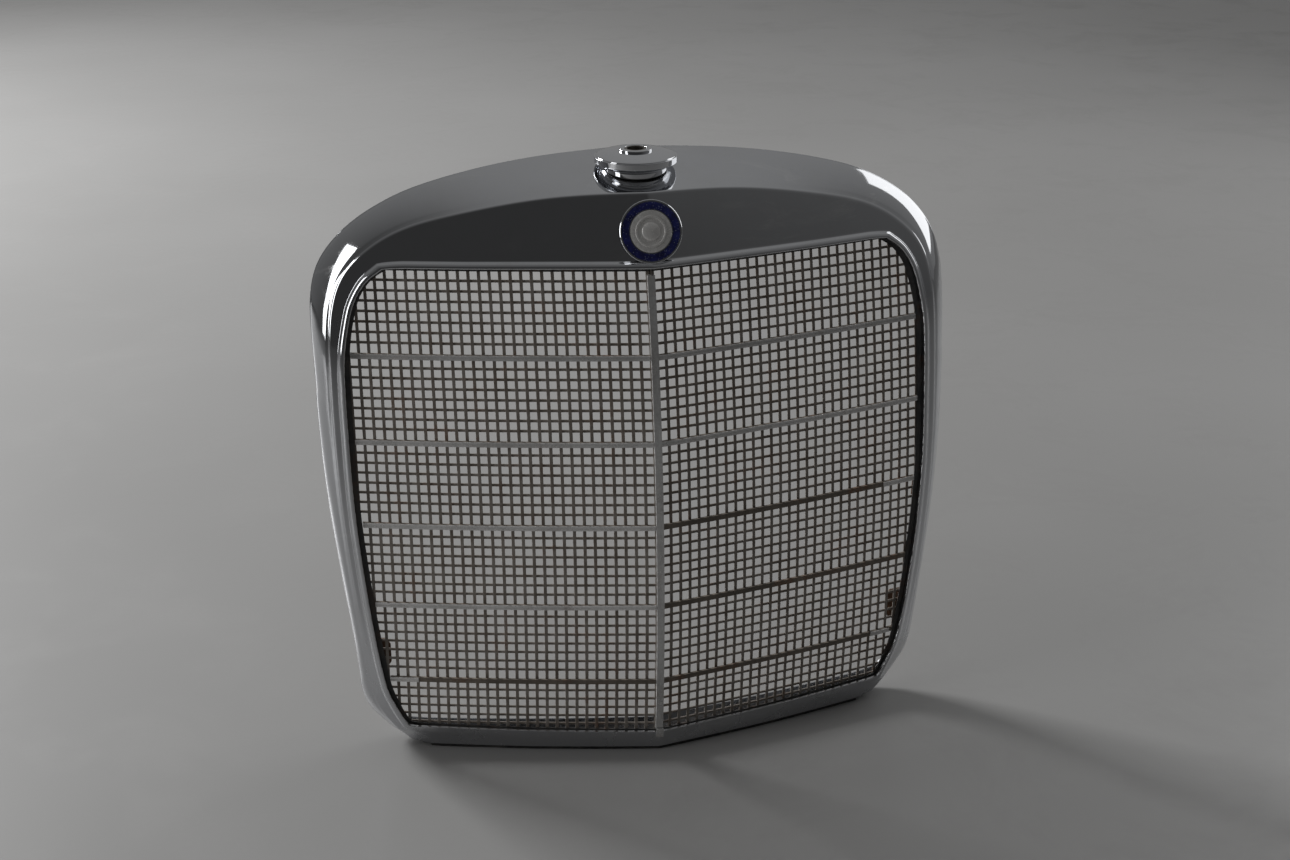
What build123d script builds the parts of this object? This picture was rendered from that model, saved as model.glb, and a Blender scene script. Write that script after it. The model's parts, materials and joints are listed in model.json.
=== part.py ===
"""Upright front grille of a saloon car: a chromed shell round a vee-shaped, barrelled grid.

Millimetres. +X to the right of someone facing the grille, +Y rearwards, +Z up.
Z = 0 is the level the grille stands on, X = 0 its centre line, Y = 0 the middle of its depth.
"""
import math
import os

from build123d import *

os.makedirs("parts", exist_ok=True)

# ---------------------------------------------------------------- driving dimensions
APEX_Y = -57.45         # grid apex at REFERENCE_H, from the middle of the depth
REFERENCE_H = 332.0     # height at which the grid's lean and position are stated
VEE_HEADING = math.radians(10.7)    # each half of the grid leaves the centre line at this angle
VEE_RADIUS = 2466.0     # plan radius of each half
LEAN = math.radians(9.06)           # lean of the grid at REFERENCE_H
BARREL_RADIUS = 1137.0  # side-view radius of the grid

COLUMN_PITCH = 9.0
COLUMNS = 30            # uprights a side
ROW_PITCH = 9.03
BARS = 5                # grid bars a side
BAY = 8                 # row pitches from bar to bar
LAST_BAY = 6            # and below the last bar
BAR_ONE = 42.5          # arc height of the top bar above REFERENCE_H
BAR_EXTRA = 3.7         # room a bar adds between the rows above and below it

UPRIGHT_W, UPRIGHT_T = 2.8, 1.2
WIRE_H, WIRE_T = 2.2, 1.0
WIRE_FRONT = UPRIGHT_T + 0.05
BAR_H, BAR_T = 4.5, 2.6
TRIM_H, TRIM_T = 4.2, 1.1
GROOVE_W, GROOVE_D = 1.3, 0.45

SHEET = 1.2             # shell sheet
BEAD = 3.0              # height of the bead round the opening
RIM = 13.0              # rear rim, turned inwards
PAD = 3.0               # rubber strip under the shell
LIP = 4.8               # shell's inner edge outside the opening, where the bead is full

FLANGE = 7.2            # insert frame: width seen from the front, and how far it turns back
RETURN = 7.5
TUCK = 3.6              # how far the grid runs in behind the frame

CENTRE_W, CENTRE_T = 6.5, 3.2
POST_W, POST_T, POST_WEB = 6.0, 1.5, 9.0
POST_FRONT = 4.2        # post, behind the grid's front
POST_LOW, POST_HIGH = 10.8, 458.0
TAB_W, TAB_H = 1.6, 8.0
TAB_HEIGHTS = (60, 145, 230, 315, 400)

BADGE_H = 481.0
BADGE_R = 27.0
BADGE_LEAN = math.radians(16.8)
BADGE_STUD_R = 3.0

CAP_Y = 83.0            # ornament base, behind the grid apex
CAP_R = 36.0
CAP_UNDER_H = 527.2     # underside of the cover's rim
CAP_RIM = 5.6
SEAT_R = 27.0
COLLAR_R = 14.5
COLLAR_TOP_H = 539.0
TUBE_R = 9.5
SOCKET_R = 7.5
SOCKET_LENGTH = 34.0

CLIP_W = 14.0           # insert clips
CLIP_TOE = 2.0          # a clip's inner end, outwards from the opening's edge
CLIP_GAP = 0.8          # clip to shell, for the weld
CLIP_OFFSET = 3.3       # screw and stud, either way from the clip's middle
STUD_OUT = 12.3         # clip studs, outwards from the opening
CLIP_HEIGHTS = (110, 222, 330)
BRACKET_T = 2.0
BRACKET_HOLE_R = 4.5
UPPER_HOLE = (196.0, 468.0)         # bolt holes of the brackets, x and height
LOWER_HOLE = (246.0, 90.0)
RIVET_R = 1.4

# Stations round half of the shell, from the top centre to the bottom centre. Each row holds the
# opening's edge (x, h), the crease (x, h), the crown's flare and depth behind the crease, its
# bulge, how far the crease is set back, and the share of the bead still standing.
TOP_KEYS = [
    (0, 446, 0, 512.5, 16.3, 101, 0.2, 0, 1.0),
    (75, 446, 82, 508.5, 20.0, 66, 0.8, 0, 1.0),
    (150, 446, 165, 493.5, 24.5, 35, 1.6, 0, 1.0),
    (220, 446, 236, 463.5, 22.0, 25, 2.0, 0, 1.0),
]
SIDE_KEYS = [
    (220, 446, 236, 463.5, 22.0, 25, 2.0, 0, 1.0),
    (234, 436, 256, 443, 21.0, 26, 2.0, 0, 1.0),
    (246, 416, 267, 416, 18.0, 22, 2.0, 0, 1.0),
    (254.5, 376, 271.5, 375, 14.0, 17.5, 2.0, 0, 1.0),
    (256, 330, 272.3, 330, 13.0, 17, 1.8, 0, 1.0),
    (254.5, 240, 270, 239, 11.0, 17, 1.5, 0, 1.0),
    (247.5, 152, 263, 150, 8.5, 14, 1.2, 2, 1.0),
    (238, 76, 254.5, 71, 9.0, 13, 1.0, 5, 0.9),
    (231.5, 50, 248.5, 42, 10.0, 15, 0.8, 6, 0.7),
    (221, 26, 232.5, 17, 8.0, 20, 0.4, 5, 0.4),
]
BOTTOM_KEYS = [
    (221, 26, 232.5, 17, 8.0, 20, 0.4, 5, 0.4),
    (213, 24.5, 220, 6.5, 2.0, 24, 0.2, 3, 0.2),
    (200, 23.5, 203, 3, 0.0, 26, 0.0, 2, 0.0),
    (110, 21.5, 111, 3, 0.0, 30, 0.0, 0, 0.0),
    (0, 20, 0, 3, 0.0, 34, 0.0, 0, 0.0),
]


# ---------------------------------------------------------------- surfaces
def arc_rise(distance, heading, radius):
    """How far an arc that starts at `heading` has turned aside after `distance` along its axis."""
    return radius * (math.cos(heading) - math.sqrt(1 - (math.sin(heading) + distance / radius) ** 2))


def arc_reach(length, heading, radius):
    """Distance along the axis after `length` of the same arc."""
    return radius * (math.sin(heading + length / radius) - math.sin(heading))


def grid_y(x, h):
    """Front of the grid's uprights at (x, h)."""
    vee = arc_rise(abs(x), VEE_HEADING, VEE_RADIUS)
    return APEX_Y + vee + arc_rise(h - REFERENCE_H, LEAN, BARREL_RADIUS)


def face_y(x, h):
    """Front of the shell's face at (x, h): 6 mm before the grid low down, 11.2 mm at the top."""
    blend = min(1.0, max(0.0, (h - 290) / 140))
    return grid_y(x, h) - 6.0 - 5.2 * blend ** 2 * (3 - 2 * blend)


def row_height(length):
    return REFERENCE_H + arc_reach(length, LEAN, BARREL_RADIUS)


# ---------------------------------------------------------------- stations
def smooth(keys, steps):
    """Catmull-Rom rows through `keys`, with `steps` of them to each interval."""
    rows = []
    last = len(keys) - 1
    for i in range(last):
        four = [keys[max(0, min(last, k))] for k in (i - 1, i, i + 1, i + 2)]
        for k in range(steps):
            u = k / steps
            rows.append([
                b + (c - a) * u / 2
                + (2 * a - 5 * b + 4 * c - d) * u ** 2 / 2
                + (3 * b - a - 3 * c + d) * u ** 3 / 2
                for a, b, c, d in zip(*four)
            ])
    rows.append(list(keys[-1]))
    return rows


def straight(keys, steps):
    """Rows in even steps from key to key."""
    rows = []
    for here, there in zip(keys, keys[1:]):
        rows += [[a + (b - a) * k / steps for a, b in zip(here, there)] for k in range(steps)]
    return rows + [list(keys[-1])]


class Station:
    """One upright section plane through the shell, square to its outline."""

    def __init__(self, row):
        self.ox, self.oh, cx, ch, self.flare, self.depth, self.bulge, self.setback, self.bead = row
        self.span = math.hypot(cx - self.ox, ch - self.oh)
        self.mx, self.mh = (cx - self.ox) / self.span, (ch - self.oh) / self.span

    def at(self, a):
        """(x, h) of the point `a` outwards from the opening's edge."""
        return self.ox + self.mx * a, self.oh + self.mh * a

    def place(self, a, y):
        x, h = self.at(a)
        return Vector(x, y, h)

    def face(self, a):
        return face_y(*self.at(a)) + self.setback * max(0.0, a - 6) / (self.span - 6)

    def grid(self, a):
        return grid_y(*self.at(a))


TOP = [Station(row) for row in smooth(TOP_KEYS, 3)]
SIDE = [Station(row) for row in smooth(SIDE_KEYS, 3)]
BOTTOM = [Station(row) for row in BOTTOM_KEYS[:2] + straight(BOTTOM_KEYS[2:], 4)]


def skin(stations, section, ruled=False):
    """Solid through the flat polygons that `section` gives at each station."""
    faces = [Face(Wire.make_polygon([s.place(*p) for p in section(s)], close=True)) for s in stations]
    return loft(faces, ruled=ruled)


def rounds(section):
    """The three lengths of one half of a part that follows the shell's outline."""
    return [skin(TOP, section), skin(SIDE, section), skin(BOTTOM, section, ruled=True)]


def mirrored(shape):
    return shape.mirror(Plane.YZ)


def solids_of(shapes):
    found = []
    for shape in shapes if isinstance(shapes, (list, tuple)) else [shapes]:
        found += shape.solids()
    return found


def save(name, shapes):
    """Write one node; its solids stay separate in the file."""
    solids = solids_of(shapes)
    export_step(solids[0] if len(solids) == 1 else Compound(children=solids), f"parts/{name}.step")


def save_pair(name, shapes):
    """Write the right-hand node and its mirror image."""
    save("right_" + name, shapes)
    save("left_" + name, [mirrored(s) for s in solids_of(shapes)])


# ---------------------------------------------------------------- shell
def shell_section(s):
    """Lip, bead, face, crown and rear rim, as (distance outwards, y) round an even sheet."""
    lip = 0.6 + (LIP - 0.6) * s.bead
    lip_y = s.bead * (s.grid(lip) - 2.0) + (1 - s.bead) * (s.face(lip) + 2.4)
    rise = BEAD * s.bead
    crease_y = s.face(s.span)
    run = math.hypot(s.flare, s.depth)
    along_a, along_y = s.flare / run, s.depth / run
    slope = s.flare / s.depth
    middle_a = s.span + 0.45 * s.flare + along_y * s.bulge
    middle_y = crease_y + 0.45 * s.depth - along_a * s.bulge
    rear_y = crease_y + s.depth
    outer = [
        (lip, lip_y),
        (lip, s.face(lip) - 0.45 * rise),
        (lip + 0.6, s.face(lip) - 0.8 * rise),
        (lip + 2.6, s.face(lip + 2.6) - rise),
        (lip + 4.9, s.face(lip + 4.9) - 0.55 * rise),
        (lip + 6.3, s.face(lip + 6.3)),
        (s.span - 1.4, s.face(s.span - 1.4)),
        (s.span + 1.4 * along_a, crease_y + 1.4 * along_y),
        (middle_a, middle_y),
        (s.span + s.flare, rear_y),
        (s.span + s.flare - RIM, rear_y),
    ]
    inner = [
        (s.span + s.flare - RIM, rear_y - SHEET),
        (s.span + s.flare - SHEET * (along_y + slope), rear_y - SHEET),
        (middle_a - SHEET * along_y, middle_y),
        (s.span - SHEET * (along_y - slope), crease_y + SHEET),
        (lip + 6.3, s.face(lip + 6.3) + SHEET),
        (lip + 4.7, s.face(lip + 4.7) - 0.55 * rise + SHEET),
        (lip + 2.8, s.face(lip + 2.8) - rise + SHEET),
        (lip + SHEET + 0.3, s.face(lip) - 0.8 * rise + SHEET + 0.1),
        (lip + SHEET, s.face(lip) - 0.4 * rise + SHEET),
        (lip + SHEET, lip_y),
    ]
    return outer + inner


half_shell = rounds(shell_section)
shell = half_shell[0].fuse(*half_shell[1:], *[mirrored(part) for part in half_shell])

cap_hole = Pos(0, APEX_Y + CAP_Y, 520) * Cylinder(TUBE_R + 0.5, 30)
badge_axis = Plane(
    origin=(0, face_y(0, BADGE_H), BADGE_H),
    x_dir=(1, 0, 0),
    z_dir=(0, -math.cos(BADGE_LEAN), math.sin(BADGE_LEAN)),
)
badge_hole = badge_axis * Cylinder(BADGE_STUD_R + 0.5, 16)
shell = shell - cap_hole - badge_hole


# rubber strip the shell stands on, set in 1.5 mm from both edges of the rail's underside
def pad_outline():
    low = BOTTOM[2:]
    front = [(s.at(s.span)[0], s.face(s.span) + 1.5) for s in low]
    rear = [(s.at(s.span)[0], s.face(s.span) + s.depth - 1.5) for s in reversed(low)]
    return [(x, y) for x, y in front + rear]


pad_face = Face(Wire.make_polygon([Vector(x, y, 0) for x, y in pad_outline()], close=True))
pad_half = extrude(pad_face, PAD, dir=(0, 0, 1))
save("base_pad", pad_half.fuse(mirrored(pad_half)))


# ---------------------------------------------------------------- insert frames
def frame_section(s):
    """Angle section: a flange seen from the front, and a return behind its outer edge."""
    front = 1.5
    return [
        (0, s.grid(0) - front),
        (FLANGE, s.grid(FLANGE) - front),
        (FLANGE, s.grid(FLANGE) + RETURN - front),
        (FLANGE - 1.2, s.grid(FLANGE - 1.2) + RETURN - front),
        (FLANGE - 1.2, s.grid(FLANGE - 1.2) - 0.3),
        (0, s.grid(0) - 0.3),
    ]


frame = rounds(frame_section)
frame = frame[0].fuse(*frame[1:])
frame = frame - Pos(0, 0, REFERENCE_H) * Box(2.3, 400, 800)
for h in (453, 13):     # the returns stop short of the centre post
    frame = frame - Pos(0, grid_y(0, h) + 11.5, h) * Box(POST_W + 1.4, 20, 14)


def side_index(h):
    """Which station of the side has its opening's edge nearest the height h."""
    return min(range(len(SIDE)), key=lambda i: abs(SIDE[i].oh - h))


clips, clip_screws, clip_studs, clip_nuts, screw_holes = [], [], [], [], []
for h in CLIP_HEIGHTS:
    i = side_index(h)
    above, s, below = SIDE[i - 1], SIDE[i], SIDE[i + 1]
    reach_y = s.grid(FLANGE) + RETURN - 1.5
    web, end = FLANGE + 0.15, s.span - 1.5
    web_y, end_y = (s.face(a) + SHEET + CLIP_GAP for a in (web, end))
    toe_y = s.grid(CLIP_TOE) + RETURN - 1.1
    profile = [
        (CLIP_TOE, toe_y),
        (web, reach_y + 0.4),
        (web, web_y),
        (end, end_y),
        (end, end_y + 1.2),
        (web + 1.2, web_y + 1.6),
        (web + 1.2, reach_y + 1.6),
        (CLIP_TOE, toe_y + 1.2),
    ]
    run = (above.place(web, above.grid(web)) - below.place(web, below.grid(web))).normalized()
    leg = Face(Wire.make_polygon([s.place(*p) for p in profile], close=True))
    body = extrude(leg, CLIP_W / 2, dir=run) + extrude(leg, CLIP_W / 2, dir=-run)
    into_frame = Plane(origin=s.place(web + 1.2, reach_y - 2.4) + run * CLIP_OFFSET, z_dir=(-s.mx, 0, -s.mh))
    screw_holes.append(into_frame * Pos(0, 0, 1.5) * Cylinder(1.7, 6))
    seat_y = s.face(STUD_OUT) + SHEET + CLIP_GAP
    stud_at = Plane(origin=s.place(STUD_OUT, seat_y) - run * CLIP_OFFSET, x_dir=(1, 0, 0), z_dir=(0, 1, 0))
    body = body - screw_holes[-1] - stud_at * Cylinder(1.7, 6)
    clips.append(body)
    clip_screws.append(
        into_frame * Pos(0, 0, -1.1) * Cylinder(2.6, 1.6) + into_frame * Pos(0, 0, 1.9) * Cylinder(1.5, 4.2)
    )
    clip_studs.append(stud_at * Pos(0, 0, 3.85) * Cylinder(1.5, 7.0))
    nut = extrude(stud_at * Pos(0, 0, 3.2) * RegularPolygon(2.8, 6), 2.0)
    clip_nuts.append(nut - stud_at * Pos(0, 0, 4.0) * Cylinder(1.6, 12.0))
for hole in screw_holes:
    frame = frame - hole
save_pair("insert_frame", frame)
save_pair("insert_clips", clips)
save("clip_screws", clip_screws + [mirrored(s) for s in solids_of(clip_screws)])
save("clip_studs", clip_studs + [mirrored(s) for s in solids_of(clip_studs)])
save("clip_nuts", clip_nuts + [mirrored(s) for s in solids_of(clip_nuts)])


# ---------------------------------------------------------------- grid
OUTLINE = [s.at(TUCK) for s in TOP + SIDE + BOTTOM]


def crossings(value, axis):
    """Where the grid's own outline crosses x = value (axis 0) or h = value (axis 1)."""
    found = []
    for here, there in zip(OUTLINE, OUTLINE[1:]):
        low, high = sorted((here[axis], there[axis]))
        if low <= value < high:
            share = (value - here[axis]) / (there[axis] - here[axis])
            found.append(here[1 - axis] + share * (there[1 - axis] - here[1 - axis]))
    return found


def upright(index):
    """Flat strip on edge to the grid's arc, standing in the plan direction of the vee."""
    heading = VEE_HEADING + (index + 0.25) * COLUMN_PITCH / VEE_RADIUS
    x = column_x(index)
    heights = crossings(x, 0)
    low, high = min(heights), max(heights)
    ends = [Vector(x, grid_y(x, h), h) for h in (low, (low + high) / 2, high)]
    back = Vector(0, UPRIGHT_T, 0)
    outline = Wire([
        Edge.make_three_point_arc(*ends),
        Edge.make_line(ends[2], ends[2] + back),
        Edge.make_three_point_arc(*[p + back for p in reversed(ends)]),
        Edge.make_line(ends[0] + back, ends[0]),
    ])
    across = Vector(math.cos(heading), math.sin(heading), 0)
    strip = Face(outline)
    return extrude(strip, UPRIGHT_W / 2, dir=across) + extrude(strip, UPRIGHT_W / 2, dir=-across)


def cross_strip(length, tall, front, back, start, end):
    """Strip along the vee at arc height `length`, between x = start and x = end."""
    h = row_height(length)
    lean = LEAN + length / BARREL_RADIUS
    ends = [Vector(x, grid_y(x, h), h) for x in (start, (start + end) / 2, end)]
    fore, aft = Vector(0, front, 0), Vector(0, back, 0)
    outline = Wire([
        Edge.make_three_point_arc(*[p + fore for p in ends]),
        Edge.make_line(ends[2] + fore, ends[2] + aft),
        Edge.make_three_point_arc(*[p + aft for p in reversed(ends)]),
        Edge.make_line(ends[0] + aft, ends[0] + fore),
    ])
    up = Vector(0, math.sin(lean), math.cos(lean))
    strip = Face(outline)
    return extrude(strip, tall / 2, dir=up) + extrude(strip, tall / 2, dir=-up)


def bar_length(index):
    """Arc height of a bar, counted from the top."""
    return BAR_ONE - index * (BAY * ROW_PITCH + BAR_EXTRA)


def wire_lengths():
    """Arc heights of the cross wires: each bar stands in place of one of them."""
    above = [BAR_ONE + BAR_EXTRA / 2 + k * ROW_PITCH for k in range(1, BAY)]
    below = []
    for i in range(BARS):
        count = BAY if i < BARS - 1 else LAST_BAY
        below += [bar_length(i) - BAR_EXTRA / 2 - k * ROW_PITCH for k in range(1, count)]
    return above + below


def column_x(index):
    return arc_reach((index + 0.25) * COLUMN_PITCH, VEE_HEADING, VEE_RADIUS)


uprights = [upright(i) for i in range(COLUMNS) if len(crossings(column_x(i), 0)) >= 2]
save_pair("grid_uprights", uprights)
wires = []
for length in wire_lengths():
    reach = max(crossings(row_height(length), 1))
    wires.append(cross_strip(length, WIRE_H, WIRE_FRONT, WIRE_FRONT + WIRE_T, 1.2, reach))
save_pair("grid_cross_wires", wires)


def bar_end(length):
    """Half width of the opening at a bar, less a little clearance."""
    return max(crossings(row_height(length), 1)) - TUCK - 0.5


def trim(length, start, end):
    """Bright strip on a bar's front, with a groove along its middle."""
    front = -BAR_T - TRIM_T
    band = cross_strip(length, TRIM_H, front, -BAR_T, start, end)
    return band - cross_strip(length, GROOVE_W, front - 1, front + GROOVE_D, start - 1, end + 1)


BAR_START = CENTRE_W / 2 + 0.4
# where each bar's trim still runs, as (from, to) shares of the bar; None where it is lost
LEFT_TRIMS = [(0, 1), (0, 1), (0, 1), (0, 1), (0.895, 1)]
RIGHT_TRIMS = [(0, 1), (0, 1), (0.87, 1), None, (0.9, 0.985)]
for side, trims in (("left", LEFT_TRIMS), ("right", RIGHT_TRIMS)):
    for i in range(BARS):
        length = bar_length(i)
        end = bar_end(length)
        parts = {"bar": cross_strip(length, BAR_H, -BAR_T, 0, BAR_START, end)}
        if trims[i]:
            first, last = (BAR_START + share * (end - BAR_START) for share in trims[i])
            stub = "" if trims[i] == (0, 1) else "_stub"
            parts["trim" + stub] = trim(length, first, last)
        for kind, shape in parts.items():
            save(f"{side}_{kind}_{i + 1}", shape if side == "right" else mirrored(shape))


# ---------------------------------------------------------------- centre bar and post
def side_strip(heights, front, thick, half_width):
    """Upright strip on the centre line; `front` gives its y at a height."""
    low, high = heights
    edge = [Vector(0, front(h), h) for h in (low, (low + high) / 2, high)]
    rear = [p + Vector(0, thick, 0) for p in reversed(edge)]
    outline = Wire([
        Edge.make_three_point_arc(*edge),
        Edge.make_line(edge[-1], rear[0]),
        Edge.make_three_point_arc(*rear),
        Edge.make_line(rear[-1], edge[0]),
    ])
    face = Face(outline)
    return extrude(face, half_width, dir=(1, 0, 0)) + extrude(face, half_width, dir=(-1, 0, 0))


def on_grid(offset):
    return lambda h: grid_y(0, h) + offset


BAR_REAR = -1.7
centre = side_strip((22, 443.5), on_grid(BAR_REAR - CENTRE_T), CENTRE_T, CENTRE_W / 2)
foot = side_strip((14.5, 23), lambda h: face_y(0, h) - 1.7, 1.6, CENTRE_W / 2)
centre = centre + foot
post_y = on_grid(POST_FRONT)
post = side_strip((POST_LOW, POST_HIGH), post_y, POST_T, POST_W / 2)
post = post + side_strip((30, 440), on_grid(POST_FRONT + 0.5), POST_WEB, 0.75)
for h in TAB_HEIGHTS:
    tab_y = grid_y(0, h)
    reach = POST_FRONT + POST_T + 1.6 - BAR_REAR
    tab = Pos(0, tab_y + BAR_REAR + reach / 2 - 0.5, h) * Box(TAB_W, reach + 1.0, TAB_H)
    slot = Pos(0, post_y(h) + 7, h) * Box(TAB_W + 0.6, 20, TAB_H + 3)
    centre = centre + tab
    post = post - slot
save("centre_bar", centre)

# the post's ends step forward to stand against the shell's inner skin
VEE_GAP = 0.9           # how far the skin falls back over half the post's width


def post_foot(start, end, way):
    """End of the post: a ledge forward from height `start`, then a toe along the skin to `end`."""
    low, high = start - way * (POST_T + 0.2), start - way * 0.2
    root = post_y(start) + POST_T - 0.3
    near, far = (face_y(0, h) + SHEET + VEE_GAP for h in (low, end))
    toe = [(near, low), (far, end), (far + POST_T, end), (near + POST_T, high)]
    outline = [(root, low)] + toe + [(root, high)]
    face = Face(Wire.make_polygon([Vector(0, y, h) for y, h in outline], close=True))
    return extrude(face, POST_W / 2, dir=(1, 0, 0)) + extrude(face, POST_W / 2, dir=(-1, 0, 0))


post = post + post_foot(POST_HIGH, 469, 1) + post_foot(POST_LOW, 5.2, -1)
save("centre_post", post)


# ---------------------------------------------------------------- badge
def vee_block(offset):
    """Everything behind the shell's face near the badge, stood off by `offset`."""
    low, high = 430.0, 530.0
    rise = (face_y(0, BADGE_H + 15) - face_y(0, BADGE_H - 15)) / 30
    apex = face_y(0, BADGE_H) + offset + (low - BADGE_H) * rise
    wing = 45.0
    fall = (face_y(27, BADGE_H) - face_y(0, BADGE_H)) / 27 * wing
    outline = [(0, apex), (wing, apex + fall), (wing, apex + 90), (-wing, apex + 90), (-wing, apex + fall)]
    base = Face(Wire.make_polygon([Vector(x, y, low) for x, y in outline], close=True))
    return extrude(base, (high - low) * math.hypot(1, rise), dir=(0, rise, 1))


def badge_disc(radius, low, high):
    """Disc square to the badge's axis between two heights above the shell's apex line."""
    return badge_axis * Pos(0, 0, (low + high) / 2) * Cylinder(radius, high - low)


CUP_TOP = 4.6
GASKET = 0.9
cup = badge_disc(BADGE_R, -12, CUP_TOP) - vee_block(-GASKET - 0.6)
channel = badge_disc(BADGE_R - 1.6, CUP_TOP - 1.6, CUP_TOP + 1) - badge_disc(18.6, CUP_TOP - 3, CUP_TOP + 1)
cup = cup - channel
cup = cup - (badge_disc(18.0, CUP_TOP - 0.9, CUP_TOP + 1))
cup_edge = cup.edges().filter_by(GeomType.CIRCLE).group_by(Axis(badge_axis.origin, badge_axis.z_dir))[-1]
cup = chamfer(cup_edge.sort_by(SortBy.RADIUS)[-1:], 0.5)
stud_rear = 13.0
cup = cup + badge_axis * Pos(0, 0, -stud_rear / 2) * Cylinder(BADGE_STUD_R, stud_rear)
save("badge_cup", cup)
gasket = badge_disc(BADGE_R - 0.8, -13, 3) - badge_disc(BADGE_R - 5, -14, 5)
gasket = gasket & (vee_block(-GASKET - 0.55) - vee_block(-0.85))
save("badge_gasket", gasket)
save("badge_enamel_ring", badge_disc(BADGE_R - 1.7, CUP_TOP - 1.6, CUP_TOP - 0.3) - badge_disc(18.7, 0, 9))
save("badge_centre_plate", badge_disc(17.9, CUP_TOP - 0.9, CUP_TOP + 0.1))
ring = badge_disc(13.5, CUP_TOP + 0.1, CUP_TOP + 0.9) - badge_disc(11.5, 0, 9)
save("badge_plain_ring", ring)
dome = badge_axis * Pos(0, 0, CUP_TOP + 0.1 - 12.0) * Sphere(14.0) & badge_disc(8, CUP_TOP + 0.1, CUP_TOP + 5)
save("badge_plain_dome", dome)
washer_back = -stud_rear + 2.6
washer = badge_disc(8, washer_back, washer_back + 7) & vee_block(SHEET + 0.05)
save("badge_washer", washer - badge_disc(BADGE_STUD_R + 0.15, -20, 5))
badge_nut = extrude(badge_axis * Pos(0, 0, washer_back - 2.4) * RegularPolygon(5.5, 6), 2.35)
save("badge_nut", badge_nut - badge_disc(BADGE_STUD_R + 0.05, -20, 5))


# ---------------------------------------------------------------- ornament base
def turned(points):
    """Solid of revolution about the ornament's axis, from (radius, height) points."""
    face = Face(Wire.make_polygon([Vector(r, 0, h) for r, h in points], close=True))
    return Pos(0, APEX_Y + CAP_Y, 0) * revolve(face, Axis.Z)


def crown_block(offset):
    """Everything under the crown's ridge line, raised by `offset`."""
    crease_y = face_y(0, 512.5)
    slope = TOP_KEYS[0][4] / TOP_KEYS[0][5]
    low, high = crease_y - 30, crease_y + 140
    line = [(y, 512.5 + slope * (y - crease_y) + offset) for y in (low, high)]
    outline = line + [(high, 440), (low, 440)]
    face = Face(Wire.make_polygon([Vector(-60, y, h) for y, h in outline], close=True))
    return extrude(face, 120, dir=(1, 0, 0))


RUBBER = 1.8
seat_steps = 8
cavetto = []
for k in range(seat_steps + 1):
    turn = math.pi / 2 * k / seat_steps
    cavetto.append((CAP_R - 1.6 - 7.4 * math.sin(turn), CAP_UNDER_H - 0.1 - 5.2 * (1 - math.cos(turn))))
seat = turned([(TUBE_R + 0.2, CAP_UNDER_H - 0.1)] + cavetto + [(SEAT_R, 508), (TUBE_R + 0.2, 508)])
save("ornament_seat", seat - crown_block(RUBBER))
rubber = turned([(SEAT_R - 0.6, 505), (SEAT_R - 0.6, 535), (SEAT_R - 6, 535), (SEAT_R - 6, 505)])
save("ornament_gasket", (rubber & crown_block(RUBBER)) - crown_block(0.7))
rim_top = CAP_UNDER_H + CAP_RIM
dome_h = COLLAR_TOP_H - 1.9
cover = [
    (TUBE_R + 0.2, CAP_UNDER_H),
    (CAP_R - 0.4, CAP_UNDER_H),
    (CAP_R, CAP_UNDER_H + 0.4),
    (CAP_R, rim_top - 0.5),
    (CAP_R - 0.5, rim_top),
    (CAP_R - 1.4, rim_top),
    (CAP_R - 1.4, rim_top + 0.6),
]
crown_w, crown_h = CAP_R - 1.4 - COLLAR_R, dome_h - rim_top - 0.6
crown_steps = 7
for k in range(1, crown_steps + 1):
    out = 1 - k / crown_steps
    cover.append((COLLAR_R + crown_w * out, rim_top + 0.6 + crown_h * (1 - out ** 2)))
cover += [(TUBE_R + 0.2, dome_h)]
save("ornament_cover", turned(cover))
collar = [
    (TUBE_R + 0.2, dome_h + 0.05),
    (COLLAR_R, dome_h + 0.05),
    (COLLAR_R, COLLAR_TOP_H - 0.6),
    (COLLAR_R - 0.6, COLLAR_TOP_H),
    (TUBE_R + 0.2, COLLAR_TOP_H),
]
save("socket_collar", turned(collar))
tube_top = COLLAR_TOP_H - 0.3
tube_low = tube_top - SOCKET_LENGTH
tube = turned([(SOCKET_R, tube_low), (TUBE_R, tube_low), (TUBE_R, tube_top), (SOCKET_R, tube_top)])
save("socket_tube", tube)
wedge = turned([(TUBE_R + 0.2, 511), (16, 511), (16, 530), (TUBE_R + 0.2, 530)]) & crown_block(-SHEET - 0.4)
save("socket_wedge_washer", wedge)
socket_nut = Pos(0, APEX_Y + CAP_Y, 506.4) * extrude(RegularPolygon(15, 6), 4.5)
save("socket_nut", socket_nut - Pos(0, APEX_Y + CAP_Y, 508) * Cylinder(TUBE_R + 0.05, 20))


# ---------------------------------------------------------------- mounting brackets
def bracket(outline, rear_y, hole):
    """Flat ear against the front of the shell's rear rim, with a clear hole for an M8 bolt."""
    face = Face(Wire.make_polygon([Vector(x, rear_y, h) for x, h in outline], close=True))
    plate = extrude(face, BRACKET_T, dir=(0, -1, 0))
    return plate - across_y(hole, rear_y, BRACKET_HOLE_R, 10)


def across_y(spot, y, radius, length):
    """Cylinder along Y centred on (x, h) = spot."""
    return Pos(spot[0], y, spot[1]) * Rot(90, 0, 0) * Cylinder(radius, length)


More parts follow.
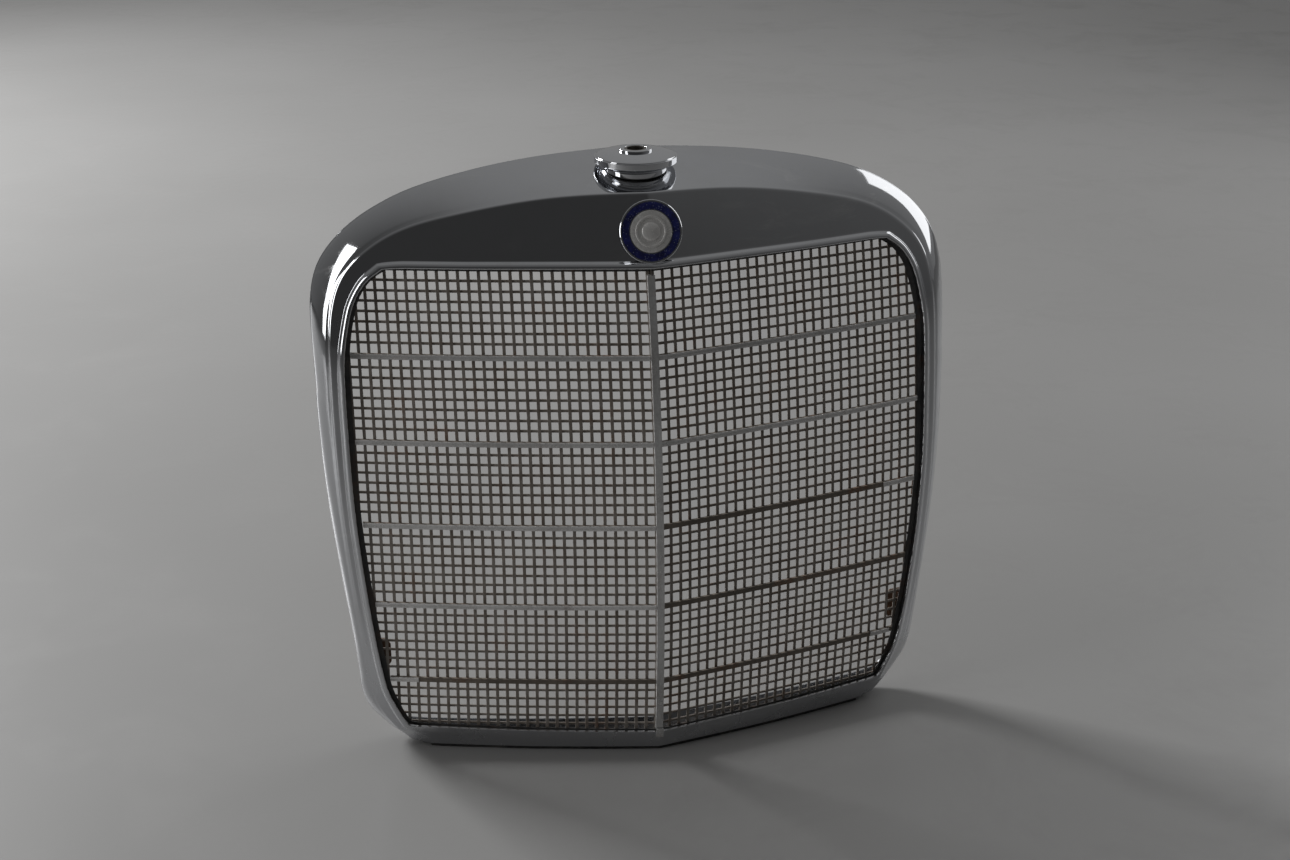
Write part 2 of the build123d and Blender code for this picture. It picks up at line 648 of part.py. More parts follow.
UPPER_REAR, LOWER_REAR = APEX_Y + 96.5, APEX_Y + 59.3
upper = bracket([(178, 509), (212, 494.5), (212, 455), (184, 455), (178, 461)], UPPER_REAR, UPPER_HOLE)
lower_ear = [(262.4, 108), (258.8, 72), (238, 76), (234, 82), (234, 99), (238, 105)]
lower = bracket(lower_ear, LOWER_REAR, LOWER_HOLE)
rivets = []
upper_spots = [(186, 503.2, UPPER_REAR), (204, 496.2, UPPER_REAR)]
lower_spots = [(258.4, 101, LOWER_REAR), (256.2, 80, LOWER_REAR)]
for x, h, y in upper_spots + lower_spots:
    front, rear = y - BRACKET_T, y + 3.3
    hole = across_y((x, h), y, RIVET_R + 0.15, 12)
    upper, lower = upper - hole, lower - hole
    shell = shell - hole - mirrored(hole)
    shank = across_y((x, h), (front + rear) / 2, RIVET_R, rear - front)
    rivets.append(shank + across_y((x, h), rear + 0.5, 2.4, 1.0))
save_pair("upper_bracket", upper)
save_pair("lower_bracket", lower)
save("bracket_rivets", rivets + [mirrored(r) for r in rivets])
save("shell", shell)
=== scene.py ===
import json
import math

import bpy
import numpy as np
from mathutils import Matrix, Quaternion, Vector


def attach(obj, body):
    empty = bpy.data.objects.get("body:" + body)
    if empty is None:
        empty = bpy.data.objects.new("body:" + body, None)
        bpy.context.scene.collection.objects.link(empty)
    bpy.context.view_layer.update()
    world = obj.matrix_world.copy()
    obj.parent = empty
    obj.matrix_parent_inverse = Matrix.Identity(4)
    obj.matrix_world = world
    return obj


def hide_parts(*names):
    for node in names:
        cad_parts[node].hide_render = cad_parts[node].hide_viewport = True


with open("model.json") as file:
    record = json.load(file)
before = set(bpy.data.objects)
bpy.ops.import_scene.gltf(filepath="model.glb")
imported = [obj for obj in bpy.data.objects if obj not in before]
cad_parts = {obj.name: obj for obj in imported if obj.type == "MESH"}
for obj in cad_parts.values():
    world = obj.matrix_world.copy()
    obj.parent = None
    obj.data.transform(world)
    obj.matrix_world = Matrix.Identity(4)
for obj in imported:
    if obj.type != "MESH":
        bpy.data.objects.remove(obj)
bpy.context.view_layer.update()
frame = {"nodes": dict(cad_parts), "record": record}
MM = 0.001

# ------------------------------------------------------------------ the grille's own surfaces, in mm
APEX_Y = -57.45
REFERENCE_H = 332.0
VEE_HEADING = math.radians(10.7)
VEE_RADIUS = 2466.0
LEAN = math.radians(9.06)
BARREL_RADIUS = 1137.0
VEE_SOFT = 1.5          # the pressing's centre fold isn't knife sharp
SHEET = 1.2
BEAD = 3.0
RIM = 13.0
LIP = 4.8
PASSES, STEPS = 3, 5    # rows between two of the keys below: their product

TOP_KEYS = [
    (0, 446, 0, 512.5, 16.3, 101, 0.2, 0, 1.0),
    (75, 446, 82, 508.5, 20.0, 66, 0.8, 0, 1.0),
    (150, 446, 165, 493.5, 24.5, 35, 1.6, 0, 1.0),
    (220, 446, 236, 463.5, 22.0, 25, 2.0, 0, 1.0),
]
SIDE_KEYS = [
    (220, 446, 236, 463.5, 22.0, 25, 2.0, 0, 1.0),
    (234, 436, 256, 443, 21.0, 26, 2.0, 0, 1.0),
    (246, 416, 267, 416, 18.0, 22, 2.0, 0, 1.0),
    (254.5, 376, 271.5, 375, 14.0, 17.5, 2.0, 0, 1.0),
    (256, 330, 272.3, 330, 13.0, 17, 1.8, 0, 1.0),
    (254.5, 240, 270, 239, 11.0, 17, 1.5, 0, 1.0),
    (247.5, 152, 263, 150, 8.5, 14, 1.2, 2, 1.0),
    (238, 76, 254.5, 71, 9.0, 13, 1.0, 5, 0.9),
    (231.5, 50, 248.5, 42, 10.0, 15, 0.8, 6, 0.7),
    (221, 26, 232.5, 17, 8.0, 20, 0.4, 5, 0.4),
]
BOTTOM_KEYS = [
    (221, 26, 232.5, 17, 8.0, 20, 0.4, 5, 0.4),
    (213, 24.5, 220, 6.5, 2.0, 24, 0.2, 3, 0.2),
    (200, 23.5, 203, 3, 0.0, 26, 0.0, 2, 0.0),
    (110, 21.5, 111, 3, 0.0, 30, 0.0, 0, 0.0),
    (0, 20, 0, 3, 0.0, 34, 0.0, 0, 0.0),
]


def arc_rise(distance, heading, radius):
    return radius * (math.cos(heading) - math.sqrt(1 - (math.sin(heading) + distance / radius) ** 2))


def grid_y(x, h, soft=0.0):
    across = math.sqrt(x * x + soft * soft) - soft
    return APEX_Y + arc_rise(across, VEE_HEADING, VEE_RADIUS) + arc_rise(h - REFERENCE_H, LEAN, BARREL_RADIUS)


def face_y(x, h):
    blend = min(1.0, max(0.0, (h - 290) / 140))
    return grid_y(x, h, VEE_SOFT) - 6.0 - 5.2 * blend ** 2 * (3 - 2 * blend)


def smooth(keys, steps):
    """Catmull-Rom rows through `keys`, with `steps` of them to each interval."""
    rows = []
    last = len(keys) - 1
    for i in range(last):
        four = [keys[max(0, min(last, k))] for k in (i - 1, i, i + 1, i + 2)]
        for k in range(steps):
            u = k / steps
            rows.append([
                b + 0.5 * (
                    (c - a) * u + (2 * a - 5 * b + 4 * c - d) * u ** 2 + (3 * b - a - 3 * c + d) * u ** 3
                )
                for a, b, c, d in zip(*four)
            ])
    rows.append(list(keys[-1]))
    return rows


def spline(rows, steps):
    """Natural cubic spline through the rows, by their spacing, with `steps` points to each interval."""
    p = np.array(rows, float)
    t = np.concatenate([[0], np.cumsum(np.linalg.norm(np.diff(p[:, :4], axis=0), axis=1))])
    n = len(t)
    h = np.diff(t)
    a = np.zeros((n, n))
    r = np.zeros(p.shape)
    a[0, 0] = a[-1, -1] = 1
    for i in range(1, n - 1):
        a[i, i - 1:i + 2] = h[i - 1], 2 * (h[i - 1] + h[i]), h[i]
        r[i] = 3 * ((p[i + 1] - p[i]) / h[i] - (p[i] - p[i - 1]) / h[i - 1])
    c = np.linalg.solve(a, r)
    out = []
    for i in range(n - 1):
        b = (p[i + 1] - p[i]) / h[i] - h[i] * (2 * c[i] + c[i + 1]) / 3
        d = (c[i + 1] - c[i]) / (3 * h[i])
        for k in range(steps):
            s = h[i] * k / steps
            out.append(p[i] + b * s + c[i] * s * s + d * s ** 3)
    out.append(p[-1])
    return out


def straight(keys, steps):
    """Rows in even steps from key to key."""
    rows = []
    for here, there in zip(keys, keys[1:]):
        rows += [[a + (b - a) * k / steps for a, b in zip(here, there)] for k in range(steps)]
    return rows + [list(keys[-1])]


class Station:
    """One upright section plane through the shell, square to its outline."""

    def __init__(self, row):
        self.ox, self.oh, cx, ch, self.flare, self.depth, self.bulge, self.setback, self.bead = row
        self.bead = min(1.0, max(0.0, self.bead))
        self.span = math.hypot(cx - self.ox, ch - self.oh)
        self.mx, self.mh = (cx - self.ox) / self.span, (ch - self.oh) / self.span

    def at(self, a):
        return self.ox + self.mx * a, self.oh + self.mh * a

    def place(self, a, y):
        x, h = self.at(a)
        return x * MM, y * MM, h * MM

    def face(self, a):
        return face_y(*self.at(a)) + self.setback * max(0.0, a - 6) / (self.span - 6)

    def grid(self, a):
        return grid_y(*self.at(a), VEE_SOFT)


def bend(points, count):
    """Round curve through control points: a quadratic B-spline with its ends held."""
    p = [points[0]] + points + [points[-1]]
    out = []
    for a, b, c in zip(p, p[1:], p[2:]):
        for k in range(count):
            t = k / count
            w = (0.5 * (1 - t) ** 2, 0.5 + t - t * t, 0.5 * t * t)
            out.append(tuple(w[0] * a[i] + w[1] * b[i] + w[2] * c[i] for i in (0, 1)))
    return out + [points[-1]]


def shell_section(s):
    """The pressing's section as (distance outwards, y) points: outer skin out, inner skin back."""
    lip = 0.6 + (LIP - 0.6) * s.bead
    lip_y = s.bead * (s.grid(lip) - 2.0) + (1 - s.bead) * (s.face(lip) + 2.4)
    rise = BEAD * s.bead
    crease_y = s.face(s.span)
    run = math.hypot(s.flare, s.depth)
    along_a, along_y = s.flare / run, s.depth / run
    slope = s.flare / s.depth
    rear_y = crease_y + s.depth
    bead = [
        (lip, lip_y - 0.2),
        (lip - 0.05, s.face(lip) - 0.2 * rise),
        (lip + 0.4, s.face(lip) - 1.0 * rise),
        (lip + 2.6, s.face(lip + 2.6) - 1.13 * rise),
        (lip + 4.9, s.face(lip + 4.9) - 0.75 * rise),
        (lip + 5.9, s.face(lip + 5.9) - 0.02 * rise),
        (lip + 7.4, s.face(lip + 7.4)),
    ]
    outer = [(lip, lip_y)] + bend(bead, 5)
    first, last = lip + 8.0, s.span - 2.6
    outer += [(first + (last - first) * k / 10, s.face(first + (last - first) * k / 10)) for k in range(11)]
    corner = [
        (s.span - 2.2, s.face(s.span - 2.2)),
        (s.span - 0.1, s.face(s.span) + 0.05),
        (s.span + 2.0 * along_a, crease_y + 2.0 * along_y),
    ]
    outer += bend(corner, 4)
    for k in range(1, 15):
        u = k / 15
        u0 = (2.6 + (run - 3.6) * u) / run
        lift = s.bulge * 4 * u0 * (1 - u0)
        outer.append((s.span + s.flare * u0 + along_y * lift, crease_y + s.depth * u0 - along_a * lift))
    rear = [
        (s.span + s.flare - 1.0 * along_a, rear_y - 1.0 * along_y),
        (s.span + s.flare, rear_y),
        (s.span + s.flare - 1.2, rear_y),
    ]
    outer += bend(rear, 3)
    outer += [(s.span + s.flare - RIM * k / 4, rear_y) for k in (1, 2, 3, 4)]
    inner = [
        (s.span + s.flare - RIM, rear_y - SHEET),
        (s.span + s.flare - SHEET * (along_y + slope), rear_y - SHEET),
    ]
    for k in range(14, 0, -1):
        u = k / 15
        lift = s.bulge * 4 * u * (1 - u)
        a = s.span + s.flare * u + along_y * (lift - SHEET)
        inner.append((a, min(rear_y - SHEET, max(crease_y + SHEET, crease_y + s.depth * u))))
    inner += [
        (s.span - SHEET * (along_y - slope), crease_y + SHEET),
        ((s.span + lip + 6.3) / 2, s.face((s.span + lip + 6.3) / 2) + SHEET),
        (lip + 6.3, s.face(lip + 6.3) + SHEET),
        (lip + 4.7, s.face(lip + 4.7) - 0.55 * rise + SHEET),
        (lip + 2.8, s.face(lip + 2.8) - rise + SHEET),
        (lip + SHEET + 0.3, s.face(lip) - 0.8 * rise + SHEET + 0.1),
        (lip + SHEET, s.face(lip) - 0.4 * rise + SHEET),
        (lip + SHEET, lip_y),
    ]
    return outer + inner


# ------------------------------------------------------------------ mesh helpers
def mesh_object(name, verts, faces, angle=35):
    me = bpy.data.meshes.new(name)
    me.from_pydata(verts, [], faces)
    me.validate()
    me.update()
    me.shade_smooth()
    me.set_sharp_from_angle(angle=math.radians(angle))
    o = bpy.data.objects.new(name, me)
    bpy.context.scene.collection.objects.link(o)
    return o


def ring_mesh(name, rings, angle=35):
    """Closed tube of quads through equal rings of points, themselves in a closed loop."""
    n, m = len(rings), len(rings[0])
    verts = [p for ring in rings for p in ring]
    faces = []
    for i in range(n):
        j = (i + 1) % n
        for k in range(m):
            q = (k + 1) % m
            faces.append((i * m + k, i * m + q, j * m + q, j * m + k))
    return mesh_object(name, verts, faces, angle)


def half_rows():
    """Rows for half of the outline, from the top centre to the bottom centre."""
    edge = spline(smooth(TOP_KEYS, PASSES), STEPS)[:-1] + spline(smooth(SIDE_KEYS, PASSES), STEPS)[:-1]
    rest = spline(TOP_KEYS + SIDE_KEYS[1:], PASSES * STEPS)[:-1]
    rows = [[*e[:2], *r[2:]] for e, r in zip(edge, rest)]
    low = BOTTOM_KEYS[:2] + straight(BOTTOM_KEYS[2:], 10)
    return rows + straight(low[:3], 5)[:-1] + [list(r) for r in low[2:]]


def make_shell():
    near = [0.0, 0.5, 1.0, 1.6, 2.4, 3.6, 5.5]
    rows = half_rows()
    first, last = np.array(rows[0]), np.array(rows[-1])
    second, before = np.array(rows[1]), np.array(rows[-2])
    top_share = [x / (second[0] - first[0]) for x in near if x < second[0]]
    low_share = [x / before[0] for x in near if x < before[0]]
    rows = [first + (second - first) * t for t in top_share] + rows[1:-1]
    rows += [last + (before - last) * t for t in reversed(low_share)]
    right = [[s.place(*p) for p in shell_section(s)] for s in map(Station, rows)]
    left = [[(-x, y, z) for x, y, z in ring] for ring in right[1:-1]]
    rings = right + left[::-1]
    return ring_mesh("shell_skin", rings, 40)


def lathe(name, profile, origin, axis, segments=128, angle=35):
    """Surface turned about `axis` through `origin` (mm), from closed (radius, height) points."""
    z = Vector(axis).normalized()
    x = Vector((1, 0, 0))
    y = z.cross(x).normalized()
    x = y.cross(z)
    centre = Vector(origin)
    rings = []
    for i in range(segments):
        t = 2 * math.pi * i / segments
        out = x * math.cos(t) + y * math.sin(t)
        rings.append([tuple((centre + out * r + z * h) * MM) for r, h in profile])
    return ring_mesh(name, rings, angle)


# ------------------------------------------------------------------ materials
class Nodes:
    """A material's node tree, with short helpers that set constants straight on the sockets."""

    def __init__(self, name):
        self.mat = bpy.data.materials.new(name)
        self.mat.use_nodes = True
        self.tree = self.mat.node_tree
        self.tree.nodes.clear()
        self.out = self.add("ShaderNodeOutputMaterial")
        self.bsdf = self.add("ShaderNodeBsdfPrincipled")
        self.link(self.bsdf, "BSDF", self.out, "Surface")
        self.coord = self.add("ShaderNodeTexCoord")

    def add(self, kind, **props):
        n = self.tree.nodes.new(kind)
        for k, v in props.items():
            setattr(n, k, v)
        return n

    def link(self, a, out, b, into):
        self.tree.links.new(a.outputs[out], b.inputs[into])

    def put(self, node, socket, value):
        """Link a (node, output) pair, or set a constant."""
        if isinstance(value, tuple) and len(value) == 2 and hasattr(value[0], "outputs"):
            self.tree.links.new(value[0].outputs[value[1]], node.inputs[socket])
        else:
            node.inputs[socket].default_value = value

    def noise(self, scale, detail=4.0, rough=0.55, distortion=0.0, stretch=None):
        n = self.add("ShaderNodeTexNoise")
        n.inputs["Scale"].default_value = scale
        n.inputs["Detail"].default_value = detail
        n.inputs["Roughness"].default_value = rough
        n.inputs["Distortion"].default_value = distortion
        if stretch:
            m = self.add("ShaderNodeMapping")
            m.inputs["Scale"].default_value = stretch
            self.link(self.coord, "Object", m, "Vector")
            self.link(m, "Vector", n, "Vector")
        else:
            self.link(self.coord, "Object", n, "Vector")
        return (n, 0)

    def cells(self, scale):
        n = self.add("ShaderNodeTexVoronoi")
        n.inputs["Scale"].default_value = scale
        self.link(self.coord, "Object", n, "Vector")
        return (n, 0)

    def ramp(self, value, low, high, to_low=0.0, to_high=1.0):
        n = self.add("ShaderNodeMapRange")
        self.put(n, "Value", value)
        n.inputs["From Min"].default_value = low
        n.inputs["From Max"].default_value = high
        n.inputs["To Min"].default_value = to_low
        n.inputs["To Max"].default_value = to_high
        return (n, 0)

    def math(self, op, a, b=0.0):
        n = self.add("ShaderNodeMath", operation=op)
        self.put(n, 0, a)
        self.put(n, 1, b)
        return (n, 0)

    def mix(self, share, a, b):
        n = self.add("ShaderNodeMix", data_type="RGBA")
        self.put(n, "Factor", share)
        self.put(n, 6, a if not isinstance(a, tuple) or len(a) != 3 else (*a, 1.0))
        self.put(n, 7, b if not isinstance(b, tuple) or len(b) != 3 else (*b, 1.0))
        return (n, 2)

    def bump(self, height, strength, distance, under=None):
        n = self.add("ShaderNodeBump")
        n.inputs["Strength"].default_value = strength
        n.inputs["Distance"].default_value = distance
        self.put(n, "Height", height)
        if under:
            self.put(n, "Normal", under)
        return (n, 0)

    def height(self):
        n = self.add("ShaderNodeSeparateXYZ")
        self.link(self.coord, "Object", n, "Vector")
        return (n, "Z")

    def done(self, color, metallic, rough, normal=None, **more):
        plain = isinstance(color, tuple) and len(color) == 3
        self.put(self.bsdf, "Base Color", (*color, 1.0) if plain else color)
        self.put(self.bsdf, "Metallic", metallic)
        self.put(self.bsdf, "Roughness", rough)
        if normal:
            self.put(self.bsdf, "Normal", normal)
        for socket, value in more.items():
            self.put(self.bsdf, socket.replace("_", " "), value)
        return self.mat


def chrome(name, tint=(0.60, 0.61, 0.63), wear=1.0, waves=1.0):
    """Old bright chrome: waviness, dull scuffs, fine scratches, darker and rougher towards the bottom, dust
    and rust pits.
    """
    n = Nodes(name)
    haze = n.ramp(n.noise(26, 5, 0.6), 0.42, 0.72)
    scuff = n.ramp(n.noise(38, 8, 0.72, 1.2, (0.35, 1, 1)), 0.55, 0.70)
    scuff = n.math("MULTIPLY", scuff, n.ramp(n.noise(11, 3, 0.5), 0.46, 0.60))
    # ramp on height: colour gets darker and roughness higher towards the bottom
    low = n.ramp(n.height(), 0.34, 0.02)
    film = n.ramp(n.noise(90, 6, 0.7), 0.45, 0.75)
    smear = n.math("MULTIPLY", haze, n.ramp(n.noise(7, 3, 0.5), 0.4, 0.6))
    rough = n.ramp(smear, 0, 1, 0.045, 0.16 * wear + 0.05)
    rough = n.math("ADD", rough, n.math("MULTIPLY", low, 0.17 * wear))
    rough = n.math("ADD", rough, n.math("MULTIPLY", film, 0.03))
    rough = n.math("ADD", rough, n.math("MULTIPLY", scuff, 0.14 * wear))
    patch = n.ramp(n.noise(34, 3, 0.6), 0.60, 0.70)
    pits = n.math("MULTIPLY", n.ramp(n.cells(420), 0.20, 0.10), patch)
    pits = n.math("MULTIPLY", pits, n.ramp(n.height(), 0.52, 0.10, 0.25, 1.0))
    color = n.mix(n.math("MULTIPLY", smear, 0.25 * wear), tint, (0.46, 0.46, 0.45))
    # darker towards the bottom, set by height alone
    color = n.mix(n.math("MULTIPLY", low, 0.32 * wear), color, (0.36, 0.36, 0.37))
    color = n.mix(n.math("MULTIPLY", scuff, 0.30 * wear), color, (0.88, 0.88, 0.87))
    color = n.mix(n.math("MULTIPLY", pits, 0.8 * wear), color, (0.16, 0.08, 0.04))
    rough = n.math("ADD", rough, n.math("MULTIPLY", pits, 0.35))
    metal = n.math("SUBTRACT", 1.0, n.math("MULTIPLY", pits, 0.6))
    normal = n.bump(n.noise(9, 2, 0.4), 0.35 * waves, 0.0011)
    normal = n.bump(n.noise(900, 2, 0.5, 0.0, (1, 1, 0.15)), 0.04, 0.00004, normal)
    normal = n.bump(pits, 0.25, 0.0002, normal)
    return n.done(color, metal, rough, normal)


def tinted_metal(
    name, clean, dirty, metallic, rough, scale=60, cover=(0.4, 0.65), grain=None, rust=0.0, pit=0.1
):
    """Dull metal or paint with a second colour in patches, rust blooms and an uneven skin."""
    n = Nodes(name)
    patch = n.ramp(n.noise(scale, 6, 0.62, 0.0, grain), *cover)
    fine = n.noise(scale * 9, 5, 0.6)
    color = n.mix(patch, clean, dirty)
    bloom = n.ramp(n.noise(scale * 0.55, 4, 0.65, 0.6), 0.56, 0.66)
    bloom = n.math("MULTIPLY", bloom, n.ramp(fine, 0.38, 0.55))
    color = n.mix(n.math("MULTIPLY", bloom, rust), color, (0.20, 0.085, 0.035))
    color = n.mix(n.ramp(fine, 0.35, 0.7, 0.0, 0.22), color, (0.05, 0.045, 0.04))
    skin = n.ramp(n.math("ADD", patch, bloom), 0.0, 1.6, rough[0], rough[1])
    bare = n.math("SUBTRACT", 1.0, n.math("MULTIPLY", bloom, 0.8 * min(1.0, rust + 0.2)))
    metal = n.math("MULTIPLY", metallic, bare)
    normal = n.bump(fine, pit, 0.0003)
    normal = n.bump(bloom, 0.25 * rust, 0.0003, normal)
    return n.done(color, metal, skin, normal)


def rubber(name, base=(0.018, 0.018, 0.019)):
    n = Nodes(name)
    dust = n.ramp(n.noise(80, 6, 0.65), 0.45, 0.75)
    color = n.mix(n.math("MULTIPLY", dust, 0.6), base, (0.12, 0.115, 0.105))
    return n.done(color, 0.0, n.ramp(dust, 0, 1, 0.55, 0.85), n.bump(n.noise(700, 3), 0.3, 0.0002))


def enamel(name):
    """Deep blue glass enamel under a clear coat, cloudier in places."""
    n = Nodes(name)
    cloud = n.ramp(n.noise(150, 4, 0.6), 0.35, 0.7)
    color = n.mix(cloud, (0.006, 0.008, 0.065), (0.022, 0.030, 0.20))
    speck = n.ramp(n.cells(620), 0.30, 0.12)
    speck = n.math("MULTIPLY", speck, n.ramp(n.noise(260, 2), 0.42, 0.52))
    color = n.mix(n.math("MULTIPLY", speck, 0.6), color, (0.40, 0.43, 0.55))
    normal = n.bump(n.noise(420, 2), 0.12, 0.0002)
    return n.done(color, 0.0, n.ramp(cloud, 0, 1, 0.12, 0.22), normal, Coat_Weight=0.6)


def floor_paint(name):
    """Pale grey studio board: faint mottling, scuffs and fine grit."""
    n = Nodes(name)
    broad = n.ramp(n.noise(1.1, 3, 0.5), 0.3, 0.7)
    scuff = n.ramp(n.noise(5.5, 7, 0.66, 0.4), 0.50, 0.78)
    color = n.mix(broad, (0.300, 0.298, 0.294), (0.335, 0.333, 0.330))
    color = n.mix(n.math("MULTIPLY", scuff, 0.25), color, (0.24, 0.235, 0.23))
    rough = n.ramp(scuff, 0, 1, 0.42, 0.62)
    return n.done(color, 0.0, rough, n.bump(n.noise(240, 4), 0.05, 0.0004))


MATERIALS = {
    "shell_chrome": chrome("shell_chrome"),
    "ornament_chrome": chrome("ornament_chrome", (0.66, 0.67, 0.69), 0.35, 0.3),
    "badge_chrome": chrome("badge_chrome", (0.66, 0.67, 0.69), 0.35, 0.3),
    "badge_silver": tinted_metal(
        "badge_silver", (0.95, 0.94, 0.92), (0.78, 0.76, 0.74), 0.30, (0.22, 0.4), 180, (0.4, 0.8),
    ),
    "badge_enamel": enamel("badge_enamel"),
    "grid_metal": tinted_metal(
        "grid_metal", (0.330, 0.298, 0.266), (0.190, 0.158, 0.130), 0.25, (0.42, 0.62), 55, rust=0.5,
    ),
    "bar_metal": tinted_metal(
        "bar_metal", (0.150, 0.128, 0.105), (0.235, 0.200, 0.165), 0.25, (0.5, 0.75), 45, rust=0.6,
    ),
    "trim_bright": tinted_metal(
        "trim_bright", (0.86, 0.85, 0.84), (0.60, 0.59, 0.57), 0.40, (0.24, 0.42), 70, (0.42, 0.75),
        grain=(0.3, 1, 1), rust=0.3,
    ),
    "centre_bright": tinted_metal(
        "centre_bright", (0.80, 0.80, 0.79), (0.55, 0.54, 0.53), 0.45, (0.2, 0.36), 45, (0.4, 0.75),
        grain=(1, 1, 0.25), rust=0.25,
    ),
    "frame_metal": tinted_metal(
        "frame_metal", (0.060, 0.060, 0.060), (0.105, 0.100, 0.094), 0.3, (0.4, 0.62), 60, rust=0.35,
    ),
    "post_metal": tinted_metal(
        "post_metal", (0.040, 0.040, 0.040), (0.075, 0.068, 0.060), 0.2, (0.45, 0.65), 50, rust=0.4,
    ),
    "bracket_metal": tinted_metal(
        "bracket_metal", (0.165, 0.085, 0.045), (0.075, 0.045, 0.030), 0.25, (0.6, 0.85), 90,
        rust=1.0, pit=0.4,
    ),
    "fastener_zinc": tinted_metal(
        "fastener_zinc", (0.36, 0.34, 0.30), (0.17, 0.13, 0.095), 0.85, (0.32, 0.55), 160, rust=0.5,
    ),
    "tube_steel": tinted_metal(
        "tube_steel", (0.24, 0.23, 0.21), (0.10, 0.085, 0.070), 0.85, (0.28, 0.5), 160, rust=0.4,
    ),
    "gasket_rubber": rubber("gasket_rubber"),
    "pad_rubber": rubber("pad_rubber", (0.014, 0.014, 0.014)),
}

slots = {row["node"]: row["material_slot"] for row in frame["record"]["subparts"]}
for node, obj in frame["nodes"].items():
    obj.data.materials.clear()
    obj.data.materials.append(MATERIALS[slots[node]])


def dress(obj, slot, *nodes):
    obj.data.materials.append(MATERIALS[slot])
    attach(obj, "root")
    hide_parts(*nodes)


# ------------------------------------------------------------------ shell
dress(make_shell(), "shell_chrome", "shell")

# ------------------------------------------------------------------ ornament base
CAP_Y = 83.0            # ornament axis, behind the grid apex
CAP = (0, APEX_Y + CAP_Y, 0)
UP = (0, 0, 1)
UNDER, TOP_H, DOME_H = 527.2, 539.0, 537.1
RIM_TOP = UNDER + 5.6
cover = bend([(9.9, UNDER), (34.6, UNDER), (36.0, UNDER), (36.0, UNDER + 1.4)], 4)
cover += bend([(36.0, UNDER + 1.6), (36.0, RIM_TOP - 0.9), (36.0, RIM_TOP), (35.1, RIM_TOP)], 4)
cover += bend([(34.9, RIM_TOP), (34.6, RIM_TOP), (34.6, RIM_TOP + 0.3), (34.4, RIM_TOP + 0.6)], 2)
for k in range(1, 13):
    r = 34.6 - 20.0 * k / 12
    cover.append((r, RIM_TOP + 0.6 + (DOME_H - RIM_TOP - 0.6) * (1 - ((r - 14.5) / 20.1) ** 2)))
cover.append((9.9, DOME_H))
dress(lathe("ornament_cover_skin", cover, CAP, UP), "ornament_chrome", "ornament_cover")
collar = [(9.8, DOME_H + 0.05), (14.5, DOME_H + 0.05)]
collar += bend([(14.5, DOME_H + 0.3), (14.5, TOP_H - 0.3), (14.1, TOP_H), (13.4, TOP_H)], 4)
collar += bend([(11.4, TOP_H), (10.2, TOP_H), (9.8, TOP_H - 0.3), (9.8, TOP_H - 1.0)], 3)
dress(lathe("socket_collar_skin", collar, CAP, UP), "ornament_chrome", "socket_collar")

# ------------------------------------------------------------------ badge, turned about the face's normal
BADGE_LEAN = math.radians(16.8)
BADGE_H = 481.0
BADGE_FRONT = 11.2      # the face's lead over the grid at the badge
BADGE = (0, APEX_Y + arc_rise(BADGE_H - REFERENCE_H, LEAN, BARREL_RADIUS) - BADGE_FRONT, BADGE_H)
OUT = (0, -math.cos(BADGE_LEAN), math.sin(BADGE_LEAN))
CUP = 4.6               # top of the badge's cup, out from the face
ring = [(18.7, CUP - 1.6), (25.3, CUP - 1.6)]
ring += bend([(25.3, CUP - 0.8), (25.3, CUP - 0.5), (24.9, CUP - 0.35), (24.4, CUP - 0.3)], 3)
ring += [(22, CUP - 0.22), (20, CUP - 0.3)]
ring += bend([(19.6, CUP - 0.3), (19.0, CUP - 0.35), (18.7, CUP - 0.5), (18.7, CUP - 0.8)], 3)
dress(lathe("badge_enamel_skin", ring, BADGE, OUT), "badge_enamel", "badge_enamel_ring")
face = [(0.02, CUP - 0.9), (17.9, CUP - 0.9), (17.9, CUP - 0.2), (17.5, CUP + 0.08), (14.2, CUP + 0.08)]
band = [(13.6, CUP + 0.1), (13.4, CUP + 0.85), (12.5, CUP + 0.9), (11.6, CUP + 0.85), (11.4, CUP + 0.1)]
face += bend(band, 4)
face += [(9.0, CUP + 0.05), (8.1, CUP + 0.1)]
for k in range(9):
    t = math.pi / 2 * k / 8
    face.append((7.9 * math.cos(t) + 0.02, CUP + 0.1 + 1.8 * math.sin(t)))
dress(
    lathe("badge_face_skin", face, BADGE, OUT), "badge_silver",
    "badge_centre_plate", "badge_plain_ring", "badge_plain_dome",
)

# ------------------------------------------------------------------ floor, light and camera
bpy.ops.mesh.primitive_circle_add(vertices=128, radius=9, fill_type="NGON", location=(0, 0, 0))
floor = bpy.context.object
floor.name = "floor"
floor.data.materials.append(floor_paint("floor_board"))


def area(name, place, aim, size, power):
    light = bpy.data.lights.new(name, "AREA")
    light.shape = "RECTANGLE"
    light.size, light.size_y = size
    light.energy = power
    o = bpy.data.objects.new(name, light)
    bpy.context.scene.collection.objects.link(o)
    o.location = place
    o.rotation_mode = "QUATERNION"
    o.rotation_quaternion = (Vector(aim) - Vector(place)).to_track_quat("-Z", "Y")


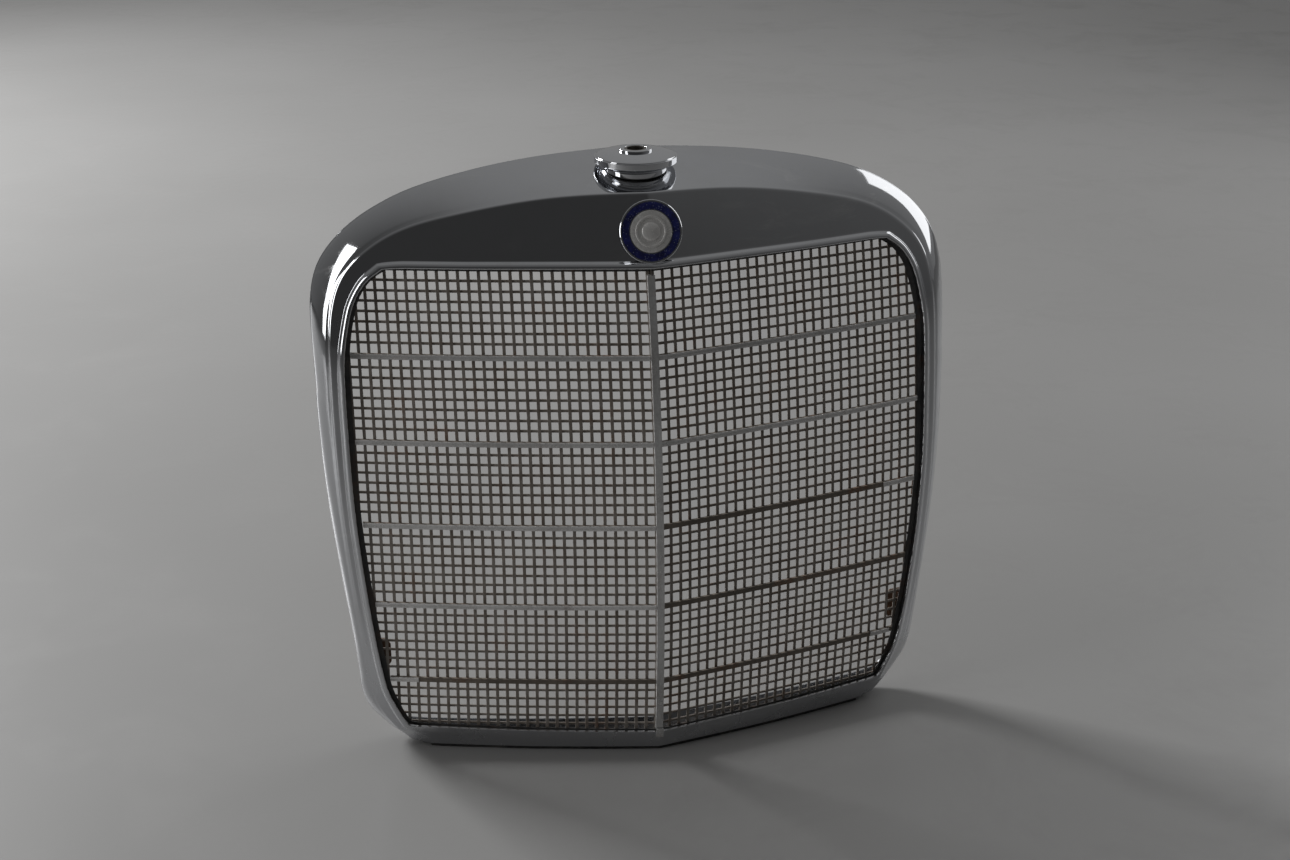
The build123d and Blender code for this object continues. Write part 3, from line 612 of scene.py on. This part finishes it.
area("key_left_rear", (-2.46, 2.89, 1.98), (0, 0.4, 0.2), (1.3, 1.1), 165)
area("side_left", (-2.6, -0.6, 1.1), (0, 0, 0.3), (0.8, 1.8), 13)
area("side_right", (2.3, 1.2, 1.4), (0, 0, 0.35), (1.7, 1.9), 13)

world = bpy.data.worlds.new("studio")
bpy.context.scene.world = world
world.use_nodes = True
wt = world.node_tree
wt.nodes.clear()
w_out = wt.nodes.new("ShaderNodeOutputWorld")
w_bg = wt.nodes.new("ShaderNodeBackground")
w_co = wt.nodes.new("ShaderNodeTexCoord")
w_dot = wt.nodes.new("ShaderNodeVectorMath")
w_dot.operation = "DOT_PRODUCT"
w_dot.inputs[1].default_value = (0.24, 0.72, 0.62)
w_map = wt.nodes.new("ShaderNodeMapRange")
w_map.inputs["From Min"].default_value = -0.45
w_map.inputs["From Max"].default_value = 1.0
w_map.inputs["To Min"].default_value = 0.038
w_map.inputs["To Max"].default_value = 0.26
w_bg.inputs["Color"].default_value = (1.0, 1.0, 1.0, 1.0)
wt.links.new(w_co.outputs["Generated"], w_dot.inputs[0])
wt.links.new(w_dot.outputs["Value"], w_map.inputs["Value"])
wt.links.new(w_map.outputs[0], w_bg.inputs["Strength"])
wt.links.new(w_bg.outputs[0], w_out.inputs["Surface"])

scene = bpy.context.scene
scene.view_settings.view_transform = "Standard"
scene.view_settings.look = "None"

cam_data = bpy.data.cameras.new("photo_camera")
cam_data.lens = 57.56
cam_data.sensor_width = 36.0
cam_data.clip_end = 60
CAMERA_AT = (-0.34397, -1.62279, 0.96244)       # metres; the second value is from the grid apex
CAMERA_LOOK = (0.18765, 0.91147, -0.36607)
CAMERA_ROLL = -0.00454
cam = bpy.data.objects.new("photo_camera", cam_data)
scene.collection.objects.link(cam)
cam.location = (CAMERA_AT[0], CAMERA_AT[1] + APEX_Y * MM, CAMERA_AT[2])
cam.rotation_mode = "QUATERNION"
aim = Vector(CAMERA_LOOK).to_track_quat("-Z", "Y")
cam.rotation_quaternion = aim @ Quaternion((0, 0, 1), CAMERA_ROLL)
scene.camera = cam
